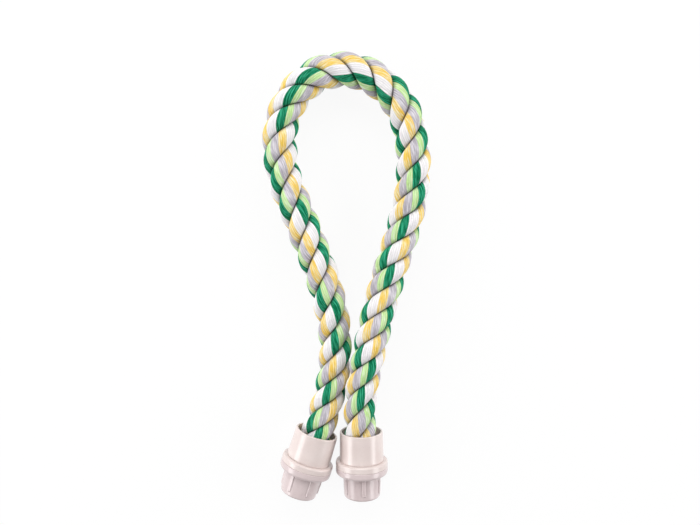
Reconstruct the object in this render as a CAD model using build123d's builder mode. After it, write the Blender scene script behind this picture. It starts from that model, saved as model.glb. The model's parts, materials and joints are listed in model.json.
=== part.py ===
from build123d import *
from itertools import pairwise
from math import radians, tan, pi
import os

# A bendable rope perch: a cotton rope with a wire core, bent into a loop, with a clamp fitting on each end.
# It lies flat: X runs across the loop, Y from the fittings to the top of the loop, and Z is up.
# The origin is on the surface under the perch, below the middle of its box. Sizes are millimetres.

# Rope and core wire
rope_diameter = 20.0
wire_diameter = 2.4
wire_clearance = 0.05

# The line of the rope's middle, seen from above: up the left leg, over the arch and down the right leg.
# Each stretch of rope has its own corners. It starts and ends halfway along a run, or at the rope's end.
route = {
    "left_leg": [(-12.0, -72.0), (-8.4, -40.5), (-12.0, -9.0), (-25.5, 30.5)],
    "left_bend": [(-37.5, 61.0), (-36.5, 91.0)],
    "arch": [(-21.5, 112.5), (1.0, 118.0), (22.0, 108.5)],
    "right_bend": [(35.0, 89.0), (38.5, 62.0)],
    "right_leg": [(34.5, 33.5), (22.0, -4.0), (14.8, -36.0), (8.2, -70.5)],
}
route_middle = (0.3, 1.08)  # the middle of the perch's box, on the route's own axes
arc_share = 0.45  # of a run, used up by the arc at each of its ends

# The rope's ends lie side by side, as far apart as their fittings need
between_ends_x = -5.5
left_end_y = -96.4
right_end_y = -96.6
splay_gain = 1.2  # the left fitting points away, so the ends are this much nearer than a flange is wide
sleeve_gap = 2.0

# What holds the rope in its sleeve
tape_length = 6.0
tape_thickness = 0.45
tape_clearance = 0.05
glue_thickness = 2.4
glue_clearance = 0.1
glue_behind_wire = 0.8

# Clamp bolt: its head sits in a pocket of the sleeve's floor
bolt_diameter = 10.0
bolt_tip_chamfer = 1.0
bolt_tip_gap = 1.5  # to the closed end of the nut's bore
bolt_head_width = 14.0
bolt_head_thickness = 2.4
bolt_clearance = 0.1

# End sleeve: a cup for the rope's end, wider at the clamp than at the mouth
sleeve_length = 16.2
sleeve_wall = 1.2
sleeve_flare = 0.4
socket_clearance = 0.4
floor_under_head = 1.2
mouth_rounding = 0.5
edge_break = 0.3

# Clamp washer and cap nut meet in one wide flange
flange_diameter = 29.4
washer_thickness = 3.6
washer_clearance = 0.3
washer_rounding = 1.0

# Cap nut: its half of the flange and a ribbed grip with a closed end
nut_flange_thickness = 4.2
nut_flange_rounding = 1.8
grip_base_diameter = 21.4
grip_end_diameter = 20.4
grip_length = 13.2
grip_end_rounding = 1.4
grip_end_wall = 2.0
thread_clearance = 0.1
rib_count = 6
rib_width = 1.6
rib_height = 0.6
rib_end_gap = 2.6
rib_end_slope = 0.8
rib_turn = {"left": 31.0, "right": -5.0}  # degrees from straight up to the nearest rib

# Diameters that follow from the rope, and places along a fitting's axis.
# Zero is the sleeve's clamp face, and the rope lies on the negative side.
wire_bore = wire_diameter + 2 * wire_clearance
tape_bore = rope_diameter + 2 * tape_clearance
tape_diameter = tape_bore + 2 * tape_thickness
socket_diameter = tape_diameter + 2 * socket_clearance
mouth_diameter = socket_diameter + 2 * sleeve_wall
base_diameter = mouth_diameter + 2 * sleeve_flare
socket_floor = -(bolt_head_thickness + floor_under_head)
rope_end_place = socket_floor - glue_thickness
wire_in_glue = glue_thickness - glue_behind_wire
grip_start = washer_thickness + nut_flange_thickness
nut_end = grip_start + grip_length
bore_end = nut_end - grip_end_wall
bolt_tip = bore_end - bolt_tip_gap

# Where the rope starts and ends
ends_apart = max(flange_diameter - splay_gain, base_diameter + sleeve_gap)
left_end = (between_ends_x - ends_apart / 2, left_end_y)
right_end = (between_ends_x + ends_apart / 2, right_end_y)

# The rope lies on the surface at the top of the loop, and rises to the fittings that stand on their flanges
crown_y = max(y for corners in route.values() for x, y in corners)
flange_y = min(left_end_y, right_end_y) + rope_end_place
rise = (flange_diameter - rope_diameter) / 2 / (crown_y - flange_y)


def lifted(x, y):
    """Point of the route in space, on the plane that the loop lies in."""
    return Vector(x - route_middle[0], y - route_middle[1], rope_diameter / 2 + rise * (crown_y - y))


def arc_radius(before, corner, after):
    """Radius of the largest arc that fits at one corner of the route."""
    run_in = corner - before
    run_out = after - corner
    shorter = min(run_in.length, run_out.length)
    return arc_share * shorter / tan(radians(run_in.get_angle(run_out) / 2))


def swept(span, corners, radii, outer, bore):
    """Round bar or tube along one stretch of the route: straight runs joined by tangent arcs."""
    start, end = span
    with BuildPart() as bar:
        with BuildLine() as path:
            FilletPolyline(start, *corners, end, radius=radii)
        middle = path.wire()
        with BuildSketch(Plane(origin=middle @ 0, z_dir=middle % 0)):
            Circle(outer / 2)
            if bore:
                Circle(bore / 2, mode=Mode.SUBTRACT)
        sweep(path=middle)
    expected = pi / 4 * (outer**2 - bore**2) * middle.length
    print(f"  length {middle.length:.1f}, volume {bar.part.volume:.0f}, section times length {expected:.0f}")
    return bar


def radial_plane(seat, turn=0):
    """Plane through a fitting's axis: local x is the radius and local y runs out along the axis."""
    radial = seat.x_dir.rotate(Axis((0, 0, 0), seat.z_dir), turn)
    return Plane(origin=seat.origin, x_dir=radial, z_dir=radial.cross(seat.z_dir))


def write(piece, name):
    """Label one finished piece and write it to its own file."""
    piece.part.label = name
    export_step(piece.part, f"parts/{name}.step")


os.makedirs("parts", exist_ok=True)

# Rope and core wire, stretch by stretch. The wire runs on into the glue at both ends of the rope.
stretches = {name: [lifted(x, y) for x, y in corners] for name, corners in route.items()}
first_corner = stretches["left_leg"][0]
last_corner = stretches["right_leg"][-1]
left_point = lifted(*left_end)
right_point = lifted(*right_end)
line = [left_point, *sum(stretches.values(), []), right_point]
radii = iter([arc_radius(a, b, c) for a, b, c in zip(line, line[1:], line[2:])])
joins = [(a[-1] + b[0]) / 2 for a, b in pairwise(stretches.values())]
rope_stops = [left_point, *joins, right_point]
wire_stops = [
    left_point + (left_point - first_corner).normalized() * wire_in_glue,
    *joins,
    right_point + (right_point - last_corner).normalized() * wire_in_glue,
]
spans = zip(pairwise(rope_stops), pairwise(wire_stops))
for (name, corners), (rope_span, wire_span) in zip(stretches.items(), spans):
    arcs = [next(radii) for corner in corners]
    print(name, "arc radii", [round(arc) for arc in arcs])
    write(swept(rope_span, corners, arcs, rope_diameter, wire_bore), f"rope_{name}")
    write(swept(wire_span, corners, arcs, wire_diameter, 0), f"core_wire_{name}")

# End fittings
ends = {"left": (left_point, first_corner), "right": (right_point, last_corner)}
for side, (rope_end, inner_point) in ends.items():
    outward = (rope_end - inner_point).normalized()
    sideways = Vector(0, 0, 1).cross(outward)
    seat = Plane(
        origin=rope_end - outward * rope_end_place,
        x_dir=outward.cross(sideways),
        z_dir=outward,
    )
    fitting_axis = Axis(seat.origin, seat.z_dir)

    # End sleeve: a tapered cup with a pocket for the bolt's head and a hole for its shank
    with BuildPart() as end_sleeve:
        with BuildSketch(radial_plane(seat)) as cup:
            with BuildLine():
                Polyline(
                    (0, 0),
                    (base_diameter / 2, 0),
                    (mouth_diameter / 2, -sleeve_length),
                    (socket_diameter / 2, -sleeve_length),
                    (socket_diameter / 2, socket_floor),
                    (0, socket_floor),
                    close=True,
                )
            make_face()
            mouth_inside, mouth_outside = cup.vertices().group_by(Axis.Y)[0].sort_by(Axis.X)
            base_outside = cup.vertices().group_by(Axis.Y)[-1].sort_by(Axis.X)[-1]
            fillet(mouth_outside, min(mouth_rounding, sleeve_wall / 2))
            chamfer([mouth_inside, base_outside], edge_break)
        revolve(axis=fitting_axis)
        with BuildSketch(seat):
            Circle(bolt_diameter / 2 + bolt_clearance)
        extrude(amount=socket_floor, mode=Mode.SUBTRACT)
        with BuildSketch(seat.offset(socket_floor)):
            RegularPolygon(bolt_head_width / 2 + bolt_clearance, 6, major_radius=False)
        extrude(amount=bolt_head_thickness, mode=Mode.SUBTRACT)
    write(end_sleeve, f"end_sleeve_{side}")

    # Clamp bolt: hexagon head inside the sleeve, shank out through the washer and into the nut
    with BuildPart() as clamp_bolt:
        with BuildSketch(seat.offset(socket_floor)):
            RegularPolygon(bolt_head_width / 2, 6, major_radius=False)
        extrude(amount=bolt_head_thickness)
        with BuildSketch(seat.offset(-floor_under_head)):
            Circle(bolt_diameter / 2)
        extrude(amount=floor_under_head + bolt_tip)
        tip_edge = clamp_bolt.edges().filter_by(GeomType.CIRCLE).sort_by(fitting_axis)[-1]
        chamfer(tip_edge, bolt_tip_chamfer)
    write(clamp_bolt, f"clamp_bolt_{side}")

    # Glue plug: fills the bottom of the socket and takes the end of the wire
    with BuildPart() as glue_plug:
        with BuildSketch(seat.offset(socket_floor)):
            Circle(socket_diameter / 2 - glue_clearance)
        extrude(amount=-glue_thickness)
        with BuildSketch(seat.offset(rope_end_place)):
            Circle(wire_bore / 2)
        extrude(amount=wire_in_glue, mode=Mode.SUBTRACT)
    write(glue_plug, f"glue_plug_{side}")

    # End tape: a binding round the last of the rope
    with BuildPart() as end_tape:
        with BuildSketch(seat.offset(rope_end_place)):
            Circle(tape_diameter / 2)
            Circle(tape_bore / 2, mode=Mode.SUBTRACT)
        extrude(amount=-tape_length)
    write(end_tape, f"end_tape_{side}")

    # Clamp washer: a thick disc, rounded on the rim that shows beside the sleeve
    with BuildPart() as clamp_washer:
        with BuildSketch(seat):
            Circle(flange_diameter / 2)
            Circle(bolt_diameter / 2 + washer_clearance, mode=Mode.SUBTRACT)
        extrude(amount=washer_thickness)
        rims = clamp_washer.edges().filter_by(GeomType.CIRCLE).group_by(SortBy.RADIUS)[-1]
        rims = rims.sort_by(fitting_axis)
        fillet(rims[0], washer_rounding)
        chamfer(rims[-1], edge_break)
    write(clamp_washer, f"clamp_washer_{side}")

    # Cap nut: flange, drafted grip with a closed end, blind bore for the bolt and ribs round the grip
    flange_ledge = (flange_diameter - grip_base_diameter) / 2 - rib_height
    with BuildPart() as cap_nut:
        with BuildSketch(radial_plane(seat)) as half_section:
            with BuildLine():
                Polyline(
                    (0, washer_thickness),
                    (flange_diameter / 2, washer_thickness),
                    (flange_diameter / 2, grip_start),
                    (grip_base_diameter / 2, grip_start),
                    (grip_end_diameter / 2, nut_end),
                    (0, nut_end),
                    close=True,
                )
            make_face()
            flange_upper, flange_lower = half_section.vertices().group_by(Axis.X)[-1].sort_by(Axis.Y)
            grip_corner = half_section.vertices().group_by(Axis.Y)[-1].sort_by(Axis.X)[-1]
            chamfer(flange_upper, edge_break)
            fillet(flange_lower, min(nut_flange_rounding, flange_ledge))
            fillet(grip_corner, grip_end_rounding)
        revolve(axis=fitting_axis)
        for index in range(rib_count):
            with BuildSketch(radial_plane(seat, rib_turn[side] + index * 360 / rib_count)):
                with BuildLine():
                    Polyline(
                        (bolt_diameter / 2 + rib_width, grip_start),
                        (grip_base_diameter / 2 + rib_height, grip_start),
                        (grip_end_diameter / 2 + rib_height, nut_end - rib_end_gap - rib_end_slope),
                        (grip_end_diameter / 2, nut_end - rib_end_gap),
                        (bolt_diameter / 2 + rib_width, nut_end - rib_end_gap),
                        close=True,
                    )
                make_face()
            extrude(amount=rib_width / 2, both=True)
        with BuildSketch(seat.offset(washer_thickness)):
            Circle(bolt_diameter / 2 + thread_clearance)
        extrude(amount=bore_end - washer_thickness, mode=Mode.SUBTRACT)
    write(cap_nut, f"cap_nut_{side}")

    print(f"{side} seat {seat.origin}, outward {seat.z_dir}, nut end {seat.origin + outward * nut_end}")
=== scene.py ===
import bpy
import json
import numpy as np
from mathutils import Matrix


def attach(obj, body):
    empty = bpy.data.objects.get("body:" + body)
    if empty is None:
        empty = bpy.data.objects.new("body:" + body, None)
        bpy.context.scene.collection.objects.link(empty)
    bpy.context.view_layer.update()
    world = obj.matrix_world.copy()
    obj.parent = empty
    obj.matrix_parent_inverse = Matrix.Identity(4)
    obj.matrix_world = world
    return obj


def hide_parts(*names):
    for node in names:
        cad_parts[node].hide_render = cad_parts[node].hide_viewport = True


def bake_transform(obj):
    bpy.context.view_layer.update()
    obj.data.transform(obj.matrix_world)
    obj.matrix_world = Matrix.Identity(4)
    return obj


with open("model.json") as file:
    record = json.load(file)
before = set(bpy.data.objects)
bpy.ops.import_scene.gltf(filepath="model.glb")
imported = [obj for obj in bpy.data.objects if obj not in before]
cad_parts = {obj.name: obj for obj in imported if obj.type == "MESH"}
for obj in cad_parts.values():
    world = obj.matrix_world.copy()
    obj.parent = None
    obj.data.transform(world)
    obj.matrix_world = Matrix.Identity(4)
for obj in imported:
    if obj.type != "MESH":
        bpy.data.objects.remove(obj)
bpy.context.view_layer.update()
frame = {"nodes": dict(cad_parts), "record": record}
record = frame["record"]
mm = 0.001
flangeDiameter = 29.4 * mm  # of the washers and nuts; the perch lies on them and on its arch
print("frame loaded:", len(frame["nodes"]), "nodes")


# Meshes from grids of points

def smoothStep(x):  # 0 below 0, 1 above 1, an even curve between
    x = np.clip(x, 0.0, 1.0)
    return x * x * (3.0 - 2.0 * x)


def fullTurn(columns):  # equal angles once round
    return np.arange(columns) * 2 * np.pi / columns


def signedVolume(points, triangles):  # six times the volume, negative when the faces point inwards
    a, b, c = (points[triangles[:, k]] for k in range(3))
    return np.einsum("ij,ij->i", a, np.cross(b, c)).sum()


def tubeFaces(grid, ring):
    # rows of points, each row closed round; a ring joins its last row to its first, and any other tube has
    # a fan of triangles over each end; u runs once round a row and v counts the rows
    rows, cols = grid.shape[:2]
    points = grid.reshape(-1, 3)
    index = np.arange(rows * cols).reshape(rows, cols)
    lower = index if ring else index[:-1]
    upper = np.roll(index, -1, axis=0) if ring else index[1:]
    quads = np.stack([lower, np.roll(lower, -1, 1), np.roll(upper, -1, 1), upper], axis=-1).reshape(-1, 4)
    across = np.tile(np.arange(cols), len(lower))
    along = np.repeat(np.arange(len(lower)), cols)
    quadU = np.stack([across, across + 1, across + 1, across], axis=-1) / cols
    quadV = np.stack([along, along, along + 1, along + 1], axis=-1)
    quadUv = np.stack([quadU, quadV], axis=-1)
    fans, fanUv = np.zeros((0, 3), int), np.zeros((0, 3, 2))
    rim = np.zeros(len(points), bool)
    if not ring:
        first, last, tip = index[0], index[-1], rows * cols
        points = np.vstack([points, grid[[0, -1]].mean(axis=1)])
        fans = np.vstack([
            np.stack([np.roll(first, -1), first, np.full(cols, tip)], axis=-1),
            np.stack([last, np.roll(last, -1), np.full(cols, tip + 1)], axis=-1),
        ])
        fanU = np.tile(np.arange(cols) / cols, 2)
        fanV = np.repeat([0.0, rows - 1.0], cols)
        fanUv = np.repeat(np.stack([fanU, fanV], axis=-1)[:, None], 3, axis=1)
        rim = np.zeros(len(points), bool)
        rim[index[[0, -1]].ravel()] = True
    if signedVolume(points, np.vstack([quads[:, :3], quads[:, [0, 2, 3]], fans])) < 0:
        quads, quadUv, fans = quads[:, ::-1], quadUv[:, ::-1], fans[:, ::-1]
    return {"points": points, "quads": quads, "quadUv": quadUv, "fans": fans, "fanUv": fanUv, "rim": rim}


def gridMesh(name, grids, ring=False):  # one object from several tubes, with sharp edges round their ends
    tubes = [tubeFaces(grid, ring) for grid in grids]
    starts = np.cumsum([0] + [len(tube["points"]) for tube in tubes])
    points = np.vstack([tube["points"] for tube in tubes])
    quads = np.vstack([tube["quads"] + start for tube, start in zip(tubes, starts)])
    fans = np.vstack([tube["fans"] + start for tube, start in zip(tubes, starts)])
    rim = np.concatenate([tube["rim"] for tube in tubes])
    uvs = np.vstack([tube[part].reshape(-1, 2) for part in ("quadUv", "fanUv") for tube in tubes])
    corners = np.concatenate([quads.ravel(), fans.ravel()])
    totals = np.concatenate([np.full(len(quads), 4), np.full(len(fans), 3)])
    mesh = bpy.data.meshes.new(name)
    mesh.vertices.add(len(points))
    mesh.vertices.foreach_set("co", points.astype(np.float32).ravel())
    mesh.loops.add(len(corners))
    mesh.loops.foreach_set("vertex_index", corners.astype(np.int32))
    mesh.polygons.add(len(totals))
    mesh.polygons.foreach_set("loop_start", (np.cumsum(totals) - totals).astype(np.int32))
    mesh.polygons.foreach_set("loop_total", totals.astype(np.int32))
    mesh.polygons.foreach_set("use_smooth", np.ones(len(totals), bool))
    mesh.update(calc_edges=True)
    uvLayer = mesh.uv_layers.new(name="pieceUv")
    uvLayer.uv.foreach_set("vector", uvs.astype(np.float32).ravel())
    edges = np.empty(len(mesh.edges) * 2, np.int32)
    mesh.edges.foreach_get("vertices", edges)
    sharp = mesh.attributes.new("sharp_edge", "BOOLEAN", "EDGE")
    sharp.data.foreach_set("value", rim[edges.reshape(-1, 2)].all(axis=1))
    mesh.validate()
    piece = bpy.data.objects.new(name, mesh)
    bpy.context.scene.collection.objects.link(piece)
    return piece


# Shader nodes that several finishes use

def srgb(r, g, b):  # screen values to the linear colour that a shader takes
    c = np.array([r, g, b]) / 255.0
    linear = np.where(c <= 0.04045, c / 12.92, ((c + 0.055) / 1.055) ** 2.4)
    return (*linear.tolist(), 1.0)


def newMaterial(name):
    material = bpy.data.materials.new(name)
    material.use_nodes = True
    tree = material.node_tree
    return material, tree, tree.nodes["Principled BSDF"]


def mathNode(tree, operation, *values):  # numbers are written on the sockets, outputs are linked to them
    made = tree.nodes.new("ShaderNodeMath")
    made.operation = operation
    for socket, value in zip(made.inputs, values):
        if isinstance(value, (int, float)):
            socket.default_value = value
        else:
            tree.links.new(value, socket)
    return made.outputs[0]


def mapped(tree, value, fromRange, toRange):  # one range onto another, held at its ends
    made = tree.nodes.new("ShaderNodeMapRange")
    for name, setting in zip(("From Min", "From Max", "To Min", "To Max"), (*fromRange, *toRange)):
        made.inputs[name].default_value = setting
    tree.links.new(value, made.inputs["Value"])
    return made.outputs[0]


def noiseNode(tree, place, scale, detail=2.0):
    noise = tree.nodes.new("ShaderNodeTexNoise")
    noise.inputs["Scale"].default_value = scale
    noise.inputs["Detail"].default_value = detail
    tree.links.new(place, noise.inputs["Vector"])
    return noise.outputs[0]


def twoTone(tree, value, tones, spots=(0.0, 1.0)):  # from the first tone to the second between two spots
    ramp = tree.nodes.new("ShaderNodeValToRGB")
    for k in range(2):
        ramp.color_ramp.elements[k].position = spots[k]
        ramp.color_ramp.elements[k].color = tones[k]
    tree.links.new(value, ramp.inputs[0])
    return ramp.outputs[0]


def addBump(tree, shader, height, strength, distance):
    bump = tree.nodes.new("ShaderNodeBump")
    bump.inputs["Strength"].default_value = strength
    bump.inputs["Distance"].default_value = distance
    tree.links.new(height, bump.inputs["Height"])
    tree.links.new(bump.outputs[0], shader.inputs["Normal"])


def pieceUv(tree):
    uv = tree.nodes.new("ShaderNodeUVMap")
    uv.uv_map = "pieceUv"
    return uv.outputs[0]


def objectPlace(tree):
    return tree.nodes.new("ShaderNodeTexCoord").outputs["Object"]


def coat(piece, finish):
    piece.data.materials.clear()
    piece.data.materials.append(finish)


def dress(piece, finish):
    coat(piece, finish)


# Cotton of the rope

cotton = {
    "stripes": [  # the dye, its lighter fibres, and how many yarns of a strand have it
        {"dye": srgb(0, 112, 74), "fibres": srgb(66, 190, 148), "yarns": 4},  # green
        {"dye": srgb(196, 232, 154), "fibres": srgb(234, 250, 218), "yarns": 3},  # lime
        {"dye": srgb(186, 180, 190), "fibres": srgb(240, 236, 242), "yarns": 4},  # lavender grey
        {"dye": srgb(251, 211, 98), "fibres": srgb(255, 247, 216), "yarns": 4},  # yellow
        {"dye": srgb(252, 249, 250), "fibres": srgb(244, 240, 244), "yarns": 5},  # white
    ],
    "streak": {"perYarn": 1.5, "perStation": 0.24, "slant": 0.25},  # patches of lighter fibres
    "streakLevel": (0.42, 0.64),  # the noise between which they come in
    "streakShare": 0.8,  # and how far they take over
    "fuzz": {"perYarn": 11.0, "perStation": 0.4, "slant": 2.2},  # single fibres
    "fuzzLevel": (0.3, 0.7),
    "fuzzShade": (0.92, 1.1),
    "yarnShade": 0.08,  # how much one yarn may differ from the next
    "paintedValleyShade": 0.2,  # painted shade: how much darker the line between two yarns is painted
    "paintedValleyWidth": 0.22,  # of a yarn, over which the painted valley shade fades out
    "paintedCreaseShade": 0.9,  # painted shade: how much darker the cotton is painted in a crease where two strands press together
    "twistSlant": 4.0,  # of the yarn's own twist, radians in a station
    "twistHeight": 0.2,  # against the fuzz
    "bumpStrength": 0.9,
    "bumpDistance": 0.3 * mm,
    "roughness": 0.88,
    "sheen": 0.06,
    "specular": 0.08,
}
yarnCount = sum(stripe["yarns"] for stripe in cotton["stripes"])  # in a strand


def stripeRamp(tree, across, part):  # stripes round a strand, each as wide as its yarns
    ramp = tree.nodes.new("ShaderNodeValToRGB")
    elements = ramp.color_ramp.elements
    ramp.color_ramp.interpolation = "CONSTANT"
    while len(elements) < len(cotton["stripes"]):
        elements.new(0.5)
    yarnsBefore = 0
    for k, stripe in enumerate(cotton["stripes"]):
        elements[k].position = yarnsBefore / yarnCount
        elements[k].color = stripe[part]
        yarnsBefore += stripe["yarns"]
    tree.links.new(across, ramp.inputs[0])
    return ramp.outputs[0]


def fibreNoise(tree, yarn, along, perYarn, perStation, slant):
    # streaks: short steps across a yarn and long ones along it, leaning with the yarn's own twist
    place = tree.nodes.new("ShaderNodeCombineXYZ")
    lean = mathNode(tree, "MULTIPLY", along, slant)
    tree.links.new(mathNode(tree, "ADD", mathNode(tree, "MULTIPLY", yarn, perYarn), lean), place.inputs[0])
    tree.links.new(mathNode(tree, "MULTIPLY", along, perStation), place.inputs[1])
    return noiseNode(tree, place.outputs[0], 1.0)


def dyedCotton():
    material, tree, shader = newMaterial("dyedCotton")
    split = tree.nodes.new("ShaderNodeSeparateXYZ")
    tree.links.new(pieceUv(tree), split.inputs[0])
    across, along = split.outputs[0], split.outputs[1]
    yarn = mathNode(tree, "MULTIPLY", across, float(yarnCount))
    streak = fibreNoise(tree, yarn, along, **cotton["streak"])
    fuzz = fibreNoise(tree, yarn, along, **cotton["fuzz"])
    mix = tree.nodes.new("ShaderNodeMix")
    mix.data_type = "RGBA"
    tree.links.new(mapped(tree, streak, cotton["streakLevel"], (0.0, cotton["streakShare"])), mix.inputs[0])
    tree.links.new(stripeRamp(tree, across, "dye"), mix.inputs[6])  # colour A, and then colour B
    tree.links.new(stripeRamp(tree, across, "fibres"), mix.inputs[7])
    yarnTone = tree.nodes.new("ShaderNodeTexWhiteNoise")
    yarnTone.noise_dimensions = "1D"
    tree.links.new(mathNode(tree, "FLOOR", yarn), yarnTone.inputs["W"])
    fromValley = mathNode(tree, "PINGPONG", yarn, 0.5)  # 0 between two yarns, 0.5 on a yarn's back
    # painted shade in the creases between strands and over the hollows beside them, read from the rope's
    # points
    paintedShade = tree.nodes.new("ShaderNodeAttribute")
    paintedShade.attribute_name = "paintedShade"
    # each yarn's own random tone, times the fuzz and the painted shade of valleys and creases
    toneAndPaintedShade = mapped(tree, yarnTone.outputs[0], (0.0, 1.0), (1.0 - cotton["yarnShade"], 1.0))
    for part in (
        # painted shade in the valleys between yarns
        mapped(tree, fromValley, (0.0, cotton["paintedValleyWidth"]), (1.0 - cotton["paintedValleyShade"], 1.0)),
        mapped(tree, fuzz, cotton["fuzzLevel"], cotton["fuzzShade"]),
        mapped(tree, paintedShade.outputs["Fac"], (0.0, 1.0), (1.0, 1.0 - cotton["paintedCreaseShade"])),
    ):
        toneAndPaintedShade = mathNode(tree, "MULTIPLY", toneAndPaintedShade, part)
    tinted = tree.nodes.new("ShaderNodeHueSaturation")
    tree.links.new(mix.outputs[2], tinted.inputs["Color"])
    tree.links.new(toneAndPaintedShade, tinted.inputs["Value"])
    tree.links.new(tinted.outputs[0], shader.inputs["Base Color"])
    twistLine = mathNode(tree, "ADD", mathNode(tree, "MULTIPLY", yarn, 2 * np.pi),
                         mathNode(tree, "MULTIPLY", along, cotton["twistSlant"]))
    twistWave = mathNode(tree, "SINE", twistLine)  # the yarn's own twist, as slanting fibres
    height = mathNode(tree, "MULTIPLY_ADD", twistWave, cotton["twistHeight"], fuzz)
    addBump(tree, shader, height, cotton["bumpStrength"], cotton["bumpDistance"])
    shader.inputs["Roughness"].default_value = cotton["roughness"]
    shader.inputs["Sheen Weight"].default_value = cotton["sheen"]
    shader.inputs["Specular IOR Level"].default_value = cotton["specular"]
    return material


ropeFinish = dyedCotton()
print("cotton dyed:", yarnCount, "yarns in a strand")


# The rope's middle line

rope = {
    "route": [  # the middle line seen from above, metres, left sleeve to right sleeve
        (-0.0201, -0.0964), (-0.0100, -0.0720), (-0.0050, -0.0385), (-0.0101, -0.0073), (-0.0248, 0.0317),
        (-0.0370, 0.0614), (-0.0360, 0.0902), (-0.0208, 0.1110), (0.0016, 0.1160), (0.0221, 0.1068),
        (0.0346, 0.0880), (0.0379, 0.0621), (0.0340, 0.0345), (0.0217, -0.0025), (0.0132, -0.0360),
        (0.0061, -0.0730), (0.0085, -0.0966),
    ],
    "lift": {  # the left leg sags and the right leg leans on it, by route point
        1: -2.4 * mm, 2: -4.0 * mm, 3: -2.2 * mm, 13: 2.6 * mm, 14: 5.2 * mm, 15: 3.4 * mm,
    },
    "crownY": 118.0 * mm,  # where the loop's plane is a rope's radius above the floor
    "routeMiddle": (0.3 * mm, 1.08 * mm),  # taken off the route, so that its box is round the origin
    "splineOrder": 3,
    "splineSteps": 48,
    "diameter": 20.0 * mm,
    "endToClamp": 6.0 * mm,  # from the rope's end to the sleeve's clamp face
    "inSleeve": 10.2 * mm,
    "endInset": 3.3 * mm,  # how far the strands stop short of the line's ends
    "mouthSqueeze": 0.055,  # how much thinner the rope is at the sleeves' mouths
    "squeezeLength": 100.0 * mm,
    "strandCount": 3,  # as many come to the top in one lay
    "helixRadius": 4.75 * mm,
    "strandRadius": 4.9 * mm,
    "coreRadius": 1.35 * mm,  # kept clear for the wire
    "topStrand": [  # place along the rope, and the strands that have come to the top by then
        (0.0, -12.50), (50.0 * mm, -8.93), (100.0 * mm, -5.49), (151.4 * mm, -1.81), (236.0 * mm, 4.22),
        (334.1 * mm, 11.29), (400.0 * mm, 16.00), (438.0 * mm, 18.85), (471.5 * mm, 21.14),
    ],
    "stripeAtZero": [2.49, 0.83, 1.29],  # the stripe that faces up where that count is zero, for each strand
    "stripesPerLay": [13.10, 13.34, 13.67],
    "stripeDrift": [  # place along the rope, and how far all stripes have strayed round their strands there
        (0.0, -0.27), (190.0 * mm, -0.30), (320.0 * mm, 0.0), (440.0 * mm, -0.36),
    ],
    "yarnSides": 5,
    "yarnDepth": 0.30 * mm,
    "yarnRoundness": 0.92,
    "yarnJitter": 0.06 * mm,  # yarns swell and shrink by this
    "jitterLength": 9.0 * mm,
    "jitterWander": 2.0,  # radians, so that the swellings come unevenly
    "jitterDrift": 31.0 * mm,
    "contactGap": 0.06 * mm,
    "contactSoftness": 0.30 * mm,
    "paintedShadeStart": 0.09 * mm,  # how far a point is pushed back where the painted crease shade begins
    "paintedShadeRange": 0.42 * mm,
    "paintedHollowWidth": 2.0 * mm,  # of the painted shade beside each crease
    "paintedHollowShare": 0.38,  # of the crease's painted shade, given to the hollow beside it
    "station": 0.8 * mm,
    "pathPoints": 120,
    "seed": 11,
}


def routeSpline():
    # the route is a plane that rises from the floor at the crown to the height of the flanges
    flat = np.array(rope["route"])
    flangeY = flat[:, 1].min() - rope["endToClamp"]
    rise = (flangeDiameter - rope["diameter"]) / 2 / (rope["crownY"] - flangeY)
    height = rope["diameter"] / 2 + rise * (rope["crownY"] - flat[:, 1])
    height[list(rope["lift"])] += list(rope["lift"].values())
    curve = bpy.data.curves.new("ropeLine", "CURVE")
    curve.dimensions = "3D"
    spline = curve.splines.new("NURBS")
    spline.points.add(len(flat) - 1)
    controls = np.column_stack([flat - np.array(rope["routeMiddle"]), height, np.ones(len(flat))])
    spline.points.foreach_set("co", controls.astype(np.float32).ravel())
    spline.order_u = rope["splineOrder"]
    spline.use_endpoint_u = True
    spline.resolution_u = rope["splineSteps"]
    holder = bpy.data.objects.new("ropeLine", curve)
    bpy.context.scene.collection.objects.link(holder)
    line = bpy.data.meshes.new_from_object(holder)
    points = np.empty(len(line.vertices) * 3, np.float32)
    line.vertices.foreach_get("co", points)
    bpy.data.objects.remove(holder)
    bpy.data.curves.remove(curve)
    bpy.data.meshes.remove(line)
    return points.reshape(-1, 3).astype(float), np.array([0.0, rise, 1.0])


def stepLengths(points):
    return np.linalg.norm(np.diff(points, axis=0), axis=1)


def unit(vectors):
    return vectors / np.linalg.norm(vectors, axis=-1, keepdims=True)


linePoints, loopNormal = routeSpline()
linePoints = linePoints[np.append(True, stepLengths(linePoints) > 1e-9)]  # without doubled points
linePlace = np.append(0.0, np.cumsum(stepLengths(linePoints)))
ropeLength = linePlace[-1]
crownPlace = linePlace[linePoints[:, 1].argmax()]
lineAlong = unit(np.gradient(linePoints, linePlace, axis=0))
lineUp = unit(loopNormal - (lineAlong @ loopNormal)[:, None] * lineAlong)
lineRight = np.cross(lineAlong, lineUp)
print("rope line:", round(ropeLength, 4), "m")


def alongLine(values, place):  # values of the middle line at any places along it, held at its ends
    return np.stack([np.interp(place, linePlace, values[:, k]) for k in range(3)], axis=-1)


def bent(place, radius, angle):
    # a straight rope's point (place along it, distance and angle from its middle) carried onto the bent line,
    # which runs on straight past its ends
    over = place - np.clip(place, 0.0, ropeLength)
    middle = alongLine(linePoints, place) + over[..., None] * alongLine(lineAlong, place)
    outward = np.cos(angle)[..., None] * alongLine(lineUp, place)
    outward += np.sin(angle)[..., None] * alongLine(lineRight, place)
    return middle + radius[..., None] * outward


# Strands

def atPlace(pairs, place):  # pairs of a place and a value, read anywhere between them
    return np.interp(place, *np.transpose(pairs))


def strandTurn(place, strand):  # angle of a strand round the rope's middle, zero where it lies on top
    return 2 * np.pi * (atPlace(rope["topStrand"], place) - strand) / rope["strandCount"]


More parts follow.
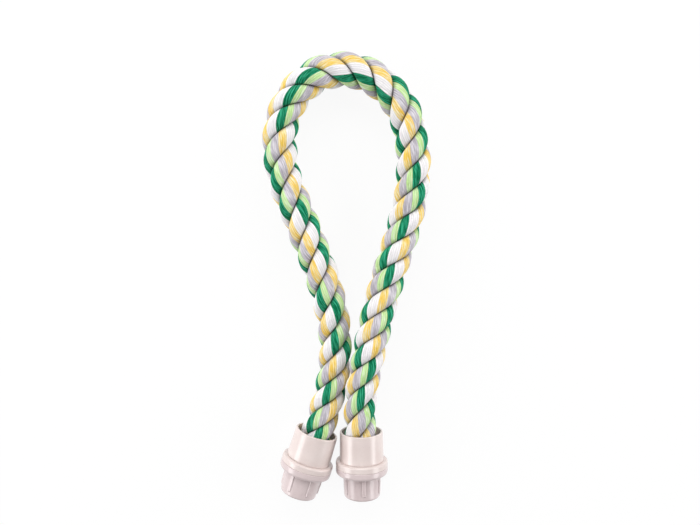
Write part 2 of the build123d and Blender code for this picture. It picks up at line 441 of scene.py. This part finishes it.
def mouthSqueeze(place):  # the rope is bound tighter where it goes into the sleeves
    fromMouth = np.minimum(place, ropeLength - place) - rope["inSleeve"]
    return 1.0 - rope["mouthSqueeze"] * (1.0 - smoothStep(fromMouth / rope["squeezeLength"]))


def pressTogether(x, y):
    # a strand's points seen along the rope, its own middle on +x: what lies past the two planes between it
    # and its neighbours is pushed back softly; it also gives a painted shade, 1 in a crease and fading over
    # the hollow beside it
    gap, soft = rope["contactGap"], rope["contactSoftness"]
    halfStrand = np.pi / rope["strandCount"]
    freeX, freeY = x, y
    nearest = np.full(x.shape, np.inf)
    for side in (1.0, -1.0):
        normalX, normalY = np.sin(halfStrand), -side * np.cos(halfStrand)
        distance = x * normalX + y * normalY
        nearest = np.minimum(nearest, distance)
        push = soft * np.logaddexp(0.0, (distance - gap) / soft) + gap - distance
        x = x + push * normalX
        y = y + push * normalY
    pushed = np.hypot(x - freeX, y - freeY)
    # painted shade: full in a crease where points were pushed back, weaker over the hollow beside it
    paintedCrease = smoothStep((pushed - rope["paintedShadeStart"]) / rope["paintedShadeRange"])
    paintedHollow = rope["paintedHollowShare"] * smoothStep(1.0 - nearest / rope["paintedHollowWidth"])
    return x, y, np.maximum(paintedCrease, paintedHollow)


def strandGrid(strand, fromPlace, toPlace, random):
    # a strand is a tube round a helix; its section is a ring of yarns that turns on its way, so that the
    # yarns on the outside run along the rope; where two strands press together each stops at the plane
    # between them
    count = int(round((toPlace - fromPlace) / rope["station"])) + 1
    place = np.linspace(fromPlace, toPlace, count)[:, None]
    column = np.arange(yarnCount * rope["yarnSides"])[None, :]
    lay = atPlace(rope["topStrand"], place) / rope["strandCount"]
    stripeUp = rope["stripeAtZero"][strand] + 0.5 + atPlace(rope["stripeDrift"], place)  # its middle
    stripeUp = stripeUp + rope["stripesPerLay"][strand] * lay
    around = 2 * np.pi * (column / column.size - stripeUp / len(cotton["stripes"]))
    acrossYarn = 2 * (column % rope["yarnSides"]) / rope["yarnSides"] - 1
    crown = rope["yarnDepth"] * (np.sqrt(1 - rope["yarnRoundness"] * acrossYarn**2) - 1)
    phase = random.uniform(0, 2 * np.pi, yarnCount)[column // rope["yarnSides"]]
    wander = rope["jitterWander"] * np.sin(phase * 3 + place / rope["jitterDrift"])
    swell = rope["yarnJitter"] * np.sin(phase + place / rope["jitterLength"] + wander) * (1 - acrossYarn**2)
    squeeze = mouthSqueeze(place)
    helixRadius = rope["helixRadius"] * squeeze
    section = rope["strandRadius"] * squeeze + crown + swell
    turn = strandTurn(place, strand)
    slope = np.arctan(helixRadius * np.gradient(turn, place[:, 0], axis=0))
    outPart = helixRadius + section * np.cos(around)
    sidePart = section * np.sin(around) * np.cos(slope)
    alongPart = place - section * np.sin(around) * np.sin(slope)
    middleTurn = strandTurn(alongPart, strand)
    away = np.hypot(outPart, sidePart)
    angle = turn + np.arctan2(sidePart, outPart) - middleTurn
    x, y, paintedShade = pressTogether(away * np.cos(angle), away * np.sin(angle))
    away = np.maximum(np.hypot(x, y), rope["coreRadius"])
    return bent(alongPart, away, np.arctan2(y, x) + middleTurn), paintedShade


def ropeHalf(name, fromPlace, toPlace, seed):
    random = np.random.default_rng(seed)
    strands = [strandGrid(strand, fromPlace, toPlace, random) for strand in range(rope["strandCount"])]
    piece = gridMesh(name, [grid for grid, _ in strands])
    endMiddleShade = (1.0, 1.0)  # full painted shade for the points in the middle of a strand's two ends
    paintedShade = np.concatenate([np.append(paintedShade, endMiddleShade) for _, paintedShade in strands])
    # the painted crease shade, kept on the points for the cotton's colour
    attribute = piece.data.attributes.new("paintedShade", "FLOAT", "POINT")
    attribute.data.foreach_set("value", paintedShade.astype(np.float32))
    dress(piece, ropeFinish)
    return piece


# Core wire

wire = {
    "diameter": 2.4 * mm,
    "sides": 12,
    "station": 2.0 * mm,
    "intoGlue": 1.5 * mm,  # past each end of the rope
    "colour": (0.55, 0.56, 0.58, 1.0),
    "dieLines": (60.0, 0.3, 1.0),  # round the wire and along it
    "roughness": (0.25, 0.5),
}


def drawnSteel():
    material, tree, shader = newMaterial("drawnSteel")
    stretch = tree.nodes.new("ShaderNodeMapping")
    stretch.inputs["Scale"].default_value = wire["dieLines"]
    tree.links.new(pieceUv(tree), stretch.inputs["Vector"])
    lines = noiseNode(tree, stretch.outputs[0], 1.0)
    tree.links.new(mapped(tree, lines, (0.0, 1.0), wire["roughness"]), shader.inputs["Roughness"])
    shader.inputs["Base Color"].default_value = wire["colour"]
    shader.inputs["Metallic"].default_value = 1.0
    return material


wireFinish = drawnSteel()


def wireHalf(name, fromPlace, toPlace):  # a plain tube on the middle line
    count = int(round((toPlace - fromPlace) / wire["station"])) + 1
    place = np.linspace(fromPlace, toPlace, count)[:, None] + np.zeros(wire["sides"])
    angle = fullTurn(wire["sides"]) + np.zeros((count, 1))
    piece = gridMesh(name, [bent(place, np.full(place.shape, wire["diameter"] / 2), angle)])
    dress(piece, wireFinish)
    return piece


# Both halves of rope and wire, which meet at the crown

halves = {  # the stretches that each half stands for, and where its leg's turn about the bend starts and ends
    "left": {
        "rope": (rope["endInset"], crownPlace),
        "wire": (-wire["intoGlue"], crownPlace),
        "stretches": ("left_leg", "left_bend", "arch"),
        "bend": {"start": (-0.0293, 0.10067, 0.0105), "end": (-0.0293, 0.04467, 0.0105)},
    },
    "right": {
        "rope": (crownPlace, ropeLength - rope["endInset"]),
        "wire": (crownPlace, ropeLength + wire["intoGlue"]),
        "stretches": ("right_leg", "right_bend"),
        "bend": {"start": (0.0365, 0.09767, 0.0105), "end": (0.0365, 0.04667, 0.0105)},
    },
}
for number, (side, half) in enumerate(halves.items()):
    fromPlace, toPlace = half["rope"]
    strands = ropeHalf("ropeStrands_" + side, fromPlace, toPlace, rope["seed"] + number)
    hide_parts(*["rope_" + stretch for stretch in half["stretches"]])
    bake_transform(strands)
    path = alongLine(linePoints, np.linspace(fromPlace, toPlace, rope["pathPoints"]))
    if side == "right":
        path = path[::-1]  # so that the path starts at its sleeve
    core = wireHalf("coreWire_" + side, *half["wire"])
    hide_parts(*["core_wire_" + stretch for stretch in half["stretches"]])
    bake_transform(core)
    print("rope half", side, len(strands.data.polygons), "faces")


# Plastic of the end fittings

plastic = {
    "ivory": [srgb(214, 199, 195), srgb(221, 208, 204)],  # deeper and paler clouds
    "rosy": [srgb(203, 187, 187), srgb(210, 195, 195)],  # the same for the nuts
    "cloudScale": 90.0,
    "cloudDetail": 4.0,
    "cloudLevel": (0.3, 0.7),
    "grainScale": 1400.0,
    "roughness": (0.24, 0.34),
    "bumpStrength": 0.25,
    "bumpDistance": 0.03 * mm,
    "coat": 0.4,
    "coatRoughness": 0.16,
}


def mouldedPlastic(name, clouds):
    material, tree, shader = newMaterial(name)
    place = objectPlace(tree)
    cloud = noiseNode(tree, place, plastic["cloudScale"], plastic["cloudDetail"])
    tree.links.new(twoTone(tree, cloud, clouds, plastic["cloudLevel"]), shader.inputs["Base Color"])
    grain = noiseNode(tree, place, plastic["grainScale"])  # left by the mould
    tree.links.new(mapped(tree, grain, (0.0, 1.0), plastic["roughness"]), shader.inputs["Roughness"])
    addBump(tree, shader, grain, plastic["bumpStrength"], plastic["bumpDistance"])
    shader.inputs["Coat Weight"].default_value = plastic["coat"]
    shader.inputs["Coat Roughness"].default_value = plastic["coatRoughness"]
    return material


plasticFinish = mouldedPlastic("ivoryPlastic", plastic["ivory"])
nutFinish = mouldedPlastic("rosyPlastic", plastic["rosy"])


# Turned pieces, each on the axis of its clamp, with places counted outwards from the sleeve's clamp face

turning = {
    "columns": 192,
    "arcSteps": 6,
    "hold": 0.12 * mm,  # from a rounding's end to the point that keeps the flat beside it flat
    "seam": 0.01 * mm,  # between two pieces that stand on each other
}


def seatOf(side):
    mount = next(m for m in record["mounts"] if m["name"] == side + "_bar_clamp")
    outward = unit(np.array(mount["axis"]))
    across = np.cross([0.0, 0.0, 1.0], outward)
    up = unit(np.cross(outward, across))
    return np.array(mount["pos_m"]), outward, up, np.cross(outward, up)


def roundedCorners(corners, closed=False):
    # corners are (radius, place, rounding); each rounding becomes an arc with a holding point beside each end
    spots = np.array([corner[:2] for corner in corners])
    hold = turning["hold"]
    t = np.linspace(0, 1, turning["arcSteps"] + 1)[:, None]
    parts = []
    for k, (_, _, rounding) in enumerate(corners):
        spot = spots[k][None]
        if rounding <= 0 or (not closed and k in (0, len(corners) - 1)):
            parts.append(spot)
            continue
        before, after = unit(spots[k - 1] - spots[k]), unit(spots[(k + 1) % len(spots)] - spots[k])
        half = np.arccos(np.clip(before @ after, -1, 1)) / 2
        reach = rounding / np.tan(half)
        centre = spots[k] + unit(before + after) * rounding / np.sin(half)
        first, last = spots[k] + before * reach - centre, spots[k] + after * reach - centre
        sweep = np.pi - 2 * half
        arc = (np.sin((1 - t) * sweep) * first + np.sin(t * sweep) * last) / np.sin(sweep)
        parts.append(np.vstack([spot + before * (reach + hold), centre + arc, spot + after * (reach + hold)]))
    return parts


def turned(seat, radius, place, columns):  # radius by rows, or by rows and columns, at one place for each row
    origin, outward, up, sideways = seat
    angle = fullTurn(columns)
    spoke = np.cos(angle)[:, None] * up + np.sin(angle)[:, None] * sideways
    return origin + place[:, None, None] * outward + (radius + np.zeros((1, columns)))[..., None] * spoke


def fittingPiece(name, side, body, node, grid, finish, ring=False):
    piece = gridMesh(name + "_" + side, [grid], ring)
    dress(piece, finish)
    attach(piece, side + "_" + body)
    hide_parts(node + "_" + side)


sleeve = {
    "length": 16.2 * mm,
    "mouthDiameter": 24.2 * mm,
    "baseDiameter": 25.0 * mm,
    "socketDiameter": 21.8 * mm,
    "floor": 3.6 * mm,
    "lipRounding": 0.55 * mm,
    "socketRounding": 0.4 * mm,
    "baseRounding": 0.3 * mm,
    "holeRounding": 0.15 * mm,
}


def endSleeve(side, seat):
    # a tapered cup: clamp face, flared wall, rounded mouth, socket, floor, and a pocket and hole for the bolt
    hole = bolt["diameter"] / 2 + bolt["clearance"]
    pocket = bolt["headWidth"] / 2 / np.cos(np.pi / 6) + bolt["clearance"]
    pocketFloor = -sleeve["floor"] + bolt["headThickness"]
    outline = np.vstack(roundedCorners([
        (hole, 0.0, sleeve["holeRounding"]),
        (sleeve["baseDiameter"] / 2, 0.0, sleeve["baseRounding"]),
        (sleeve["mouthDiameter"] / 2, -sleeve["length"], sleeve["lipRounding"]),
        (sleeve["socketDiameter"] / 2, -sleeve["length"], sleeve["socketRounding"]),
        (sleeve["socketDiameter"] / 2, -sleeve["floor"], sleeve["socketRounding"]),
        (pocket, -sleeve["floor"], sleeve["holeRounding"]),
        (pocket, pocketFloor, sleeve["holeRounding"]),
        (hole, pocketFloor, sleeve["holeRounding"]),
    ], closed=True))
    grid = turned(seat, outline[:, :1], outline[:, 1], turning["columns"])
    fittingPiece("endSleeve", side, "leg", "end_sleeve", grid, plasticFinish, ring=True)


bolt = {
    "diameter": 10.0 * mm,
    "clearance": 0.1 * mm,  # round the bolt and its head in the sleeve
    "headWidth": 14.0 * mm,
    "headThickness": 2.4 * mm,
    "headBevel": 0.3 * mm,
    "headTop": 0.93,  # of the head's width, inside its bevel
    "neck": 0.75,  # of the head's width, where the shank begins
    "tip": 17.5 * mm,
    "tipBevel": 1.0 * mm,
    "inset": 0.05 * mm,  # how much smaller it is than its solid
    "threadPitch": 2.5 * mm,
    "threadDepth": 0.75 * mm,
    "threadStart": 0.5 * mm,
    "threadFade": 1.0 * mm,
    "crestShare": 0.3,
    "flankShare": 0.45,
    "deepest": 1.2 * mm,
    "station": 0.2 * mm,
    "columns": 144,
}


def clampBolt(side, seat):
    # a six-sided head, then a shank whose radius follows a ramped wave along a right-hand helix
    angle = fullTurn(bolt["columns"])
    sextant = (angle + np.pi / 6) % (np.pi / 3) - np.pi / 6
    headTop, headSeat = -sleeve["floor"], -sleeve["floor"] + bolt["headThickness"]
    hexagon = (bolt["headWidth"] / 2 - bolt["inset"]) / np.cos(sextant)
    headScale = np.array([bolt["headTop"], 1.0, 1.0, bolt["neck"]])
    headPlace = [headTop, headTop + bolt["headBevel"], headSeat - bolt["inset"], headSeat]
    stations = np.arange(headSeat + bolt["inset"], bolt["tip"], bolt["station"])
    along = stations[:, None]
    wave = (along / bolt["threadPitch"] - angle / (2 * np.pi)) % 1.0
    groove = smoothStep((np.abs(wave - 0.5) * 2 - bolt["crestShare"]) / bolt["flankShare"])
    groove = groove * smoothStep((along - bolt["threadStart"]) / bolt["threadFade"])
    taper = 1 - np.clip((bolt["tip"] - along) / bolt["tipBevel"], 0.0, 1.0)
    shank = bolt["diameter"] / 2 - bolt["inset"]
    thread = shank - bolt["threadDepth"] * groove - bolt["tipBevel"] * taper
    thread = np.maximum(thread, shank - bolt["deepest"])
    radius = np.vstack([headScale[:, None] * hexagon, thread])
    grid = turned(seat, radius, np.append(headPlace, stations), bolt["columns"])
    fittingPiece("clampBolt", side, "leg", "clamp_bolt", grid, plasticFinish)


washer = {
    "thickness": 3.6 * mm,
    "bore": 10.6 * mm,
    "boreRounding": 0.2 * mm,
    "sleeveRounding": 1.1 * mm,
    "nutRounding": 0.35 * mm,
}


def clampWasher(side, seat):
    # a thick ring with a well rounded rim on the sleeve's side
    bore, rim = washer["bore"] / 2, flangeDiameter / 2
    outline = np.vstack(roundedCorners([
        (bore, turning["seam"], washer["boreRounding"]),
        (rim, turning["seam"], washer["sleeveRounding"]),
        (rim, washer["thickness"], washer["nutRounding"]),
        (bore, washer["thickness"], washer["boreRounding"]),
    ], closed=True))
    grid = turned(seat, outline[:, :1], outline[:, 1], turning["columns"])
    fittingPiece("clampWasher", side, "washer", "clamp_washer", grid, plasticFinish, ring=True)


nut = {
    "bore": 10.2 * mm,
    "flangeThickness": 4.2 * mm,
    "gripBaseDiameter": 21.4 * mm,
    "gripEndDiameter": 20.4 * mm,
    "gripLength": 13.2 * mm,
    "endWall": 2.0 * mm,
    "poleRadius": 1.0 * mm,  # where the flat ends are closed by fans
    "boreEndRounding": 0.5 * mm,
    "boreRounding": 0.3 * mm,
    "washerRounding": 0.35 * mm,
    "flangeRounding": 1.8 * mm,
    "rootRounding": 0.4 * mm,
    "endRounding": 1.4 * mm,
    "wallStart": 0.6 * mm,  # past the root's rounding
    "wallEnd": 1.8 * mm,  # before the end's rounding
    "wallRows": 48,
    "rootRows": 4,  # of the root's rounding that the ribs run into
    "ribCount": 6,
    "ribWidth": 1.6 * mm,
    "ribHeight": 0.6 * mm,
    "ribEdge": 0.3 * mm,
    "ribEndGap": 2.6 * mm,
    "ribFade": 0.9 * mm,
    "ribTurn": {"left": 31.0, "right": -5.0},  # degrees
    "columns": 480,
}


def capNut(side, seat):
    # bore, flange and grip turned from one outline; ribs are added to the grip's radius at angles near a rib
    bore, rim = nut["bore"] / 2, flangeDiameter / 2
    gripBase, gripEnd = nut["gripBaseDiameter"] / 2, nut["gripEndDiameter"] / 2
    start = washer["thickness"] + turning["seam"]
    gripStart = washer["thickness"] + nut["flangeThickness"]
    nutEnd = gripStart + nut["gripLength"]
    boreEnd = nutEnd - nut["endWall"]
    toRoot = [
        (nut["poleRadius"], boreEnd, 0.0),
        (bore, boreEnd, nut["boreEndRounding"]),
        (bore, start, nut["boreRounding"]),
        (rim, start, nut["washerRounding"]),
        (rim, gripStart, nut["flangeRounding"]),
        (gripBase, gripStart, nut["rootRounding"]),
    ]
    toEnd = [(gripEnd, nutEnd, nut["endRounding"]), (nut["poleRadius"], nutEnd, 0.0)]
    parts = roundedCorners(toRoot + toEnd)
    wallPlace = np.linspace(gripStart + nut["wallStart"], nutEnd - nut["wallEnd"], nut["wallRows"])
    wallRadius = gripBase + (gripEnd - gripBase) * (wallPlace - gripStart) / nut["gripLength"]
    beforeWall = np.vstack(parts[:len(toRoot)])
    outline = np.vstack([beforeWall, np.column_stack([wallRadius, wallPlace]), *parts[len(toRoot):]])
    ribStep = 2 * np.pi / nut["ribCount"]
    ribTurn = fullTurn(nut["columns"]) - np.radians(nut["ribTurn"][side])
    acrossRib = np.abs((ribTurn + ribStep / 2) % ribStep - ribStep / 2) * gripBase
    ribShape = smoothStep((nut["ribWidth"] / 2 + nut["ribEdge"] / 2 - acrossRib) / nut["ribEdge"])
    ribReach = smoothStep((nutEnd - nut["ribEndGap"] - outline[:, 1]) / nut["ribFade"])
    ribReach[:len(beforeWall) - nut["rootRows"]] = 0.0
    radius = outline[:, :1] + nut["ribHeight"] * ribReach[:, None] * ribShape
    grid = turned(seat, radius, outline[:, 1], nut["columns"])
    fittingPiece("capNut", side, "nut", "cap_nut", grid, nutFinish)


# Glue and tape, which keep the shapes of their solids

glue = {
    "tones": [srgb(226, 216, 184), srgb(240, 234, 212)],
    "cloudScale": 220.0,
    "bumpStrength": 1.0,
    "bumpDistance": 0.2 * mm,
    "roughness": 0.35,
}


def setGlue():
    material, tree, shader = newMaterial("setGlue")
    cloud = noiseNode(tree, objectPlace(tree), glue["cloudScale"])
    tree.links.new(twoTone(tree, cloud, glue["tones"]), shader.inputs["Base Color"])
    addBump(tree, shader, cloud, glue["bumpStrength"], glue["bumpDistance"])
    shader.inputs["Roughness"].default_value = glue["roughness"]
    return material


tape = {
    "threads": [srgb(222, 220, 214), srgb(204, 202, 196)],
    "weaveScale": 2600.0,
    "bumpStrength": 0.4,
    "bumpDistance": 0.1 * mm,
    "roughness": 0.8,
}


def clothTape():
    material, tree, shader = newMaterial("clothTape")
    weave = tree.nodes.new("ShaderNodeTexChecker")  # plain weave of the tape
    weave.inputs["Scale"].default_value = tape["weaveScale"]
    weave.inputs["Color1"].default_value, weave.inputs["Color2"].default_value = tape["threads"]
    tree.links.new(objectPlace(tree), weave.inputs["Vector"])
    tree.links.new(weave.outputs[0], shader.inputs["Base Color"])
    addBump(tree, shader, weave.outputs[1], tape["bumpStrength"], tape["bumpDistance"])
    shader.inputs["Roughness"].default_value = tape["roughness"]
    return material


glueFinish = setGlue()
tapeFinish = clothTape()

for side in ("left", "right"):
    seat = seatOf(side)
    endSleeve(side, seat)
    clampBolt(side, seat)
    clampWasher(side, seat)
    capNut(side, seat)
    coat(frame["nodes"]["glue_plug_" + side], glueFinish)
    coat(frame["nodes"]["end_tape_" + side], tapeFinish)
    print("fitting made:", side)


# Floor, light and camera

studio = {
    "floorSize": 4.0,  # metres, as are the lamps' places and sizes
    "floorLevel": -0.05 * mm,
    "floorGrey": 0.9,
    "floorRoughness": 0.9,
    "floorSpecular": 0.1,
    "floorGlow": 0.92,  # the share of plain white that the camera sees on the floor
    "ambient": 0.24,  # the room's strength as a light; the camera sees it at 1
    "lamps": {
        "leftSoftbox": {"place": (-1.1, -0.04, 0.53), "size": (0.53, 1.5), "watts": 12.6},
        "rightSoftbox": {"place": (1.1, -0.04, 0.53), "size": (0.53, 1.5), "watts": 11.0},
        "farSoftbox": {"place": (0.0, 1.1, 0.88), "size": (0.74, 1.5), "watts": 14.5},
    },
}


def rayIs(tree, *kinds):  # 1 for a ray of any of these kinds, 0 for all others
    ray = tree.nodes.new("ShaderNodeLightPath")
    seen = ray.outputs[kinds[0]]
    for kind in kinds[1:]:
        seen = mathNode(tree, "MAXIMUM", seen, ray.outputs[kind])
    return seen


def paleFloor():
    material, tree, shader = newMaterial("paleFloor")
    shader.inputs["Base Color"].default_value = (*(studio["floorGrey"],) * 3, 1.0)
    shader.inputs["Roughness"].default_value = studio["floorRoughness"]
    shader.inputs["Specular IOR Level"].default_value = studio["floorSpecular"]
    seen = rayIs(tree, "Is Camera Ray", "Is Glossy Ray", "Is Transmission Ray")
    glow = tree.nodes.new("ShaderNodeEmission")
    mix = tree.nodes.new("ShaderNodeMixShader")
    tree.links.new(mathNode(tree, "MULTIPLY", seen, studio["floorGlow"]), mix.inputs[0])
    tree.links.new(shader.outputs[0], mix.inputs[1])
    tree.links.new(glow.outputs[0], mix.inputs[2])
    tree.links.new(mix.outputs[0], tree.nodes["Material Output"].inputs["Surface"])
    return material


def layFloor():
    half, level = studio["floorSize"] / 2, studio["floorLevel"]
    corners = [(-half, -half, level), (half, -half, level), (half, half, level), (-half, half, level)]
    mesh = bpy.data.meshes.new("floor")
    mesh.from_pydata(corners, [], [(0, 1, 2, 3)])
    floor = bpy.data.objects.new("floor", mesh)
    floor.data.materials.append(paleFloor())
    bpy.context.scene.collection.objects.link(floor)


def hangLamps():  # each lamp faces the origin
    for name, lamp in studio["lamps"].items():
        light = bpy.data.lights.new(name, "AREA")
        light.shape = "RECTANGLE"
        light.size, light.size_y = lamp["size"]
        light.energy = lamp["watts"]
        holder = bpy.data.objects.new(name, light)
        holder.location = lamp["place"]
        x, y, z = unit(np.array(lamp["place"]))
        holder.rotation_euler = (0.0, np.arccos(z), np.arctan2(y, x))
        bpy.context.scene.collection.objects.link(holder)


def whiteRoom():
    world = bpy.data.worlds.new("softRoom")
    world.use_nodes = True
    tree = world.node_tree
    back = tree.nodes["Background"]
    back.inputs["Color"].default_value = (1.0, 1.0, 1.0, 1.0)
    seen = rayIs(tree, "Is Camera Ray", "Is Transmission Ray")
    strength = mathNode(tree, "MULTIPLY_ADD", seen, 1.0 - studio["ambient"], studio["ambient"])
    tree.links.new(strength, back.inputs["Strength"])
    bpy.context.scene.world = world


viewpoint = {
    "sensorWidth": 36.0,
    "lens": 34.15,
    "place": (1.78 * mm, 40.1 * mm, 380.0 * mm),  # above the loop's wide end
    "tilt": -5.0,  # degrees, towards the fittings, so that it looks a little way into their mouths
    "clipStart": 10.0 * mm,
}


def placeCamera():
    camera = bpy.data.cameras.new("camera")
    camera.sensor_width = viewpoint["sensorWidth"]
    camera.lens = viewpoint["lens"]
    camera.clip_start = viewpoint["clipStart"]
    holder = bpy.data.objects.new("camera", camera)
    holder.location = viewpoint["place"]
    holder.rotation_euler = (np.radians(viewpoint["tilt"]), 0.0, 0.0)
    bpy.context.scene.collection.objects.link(holder)
    bpy.context.scene.camera = holder


layFloor()
hangLamps()
whiteRoom()
placeCamera()
bpy.context.scene.view_settings.view_transform = "Standard"
print("stage built")
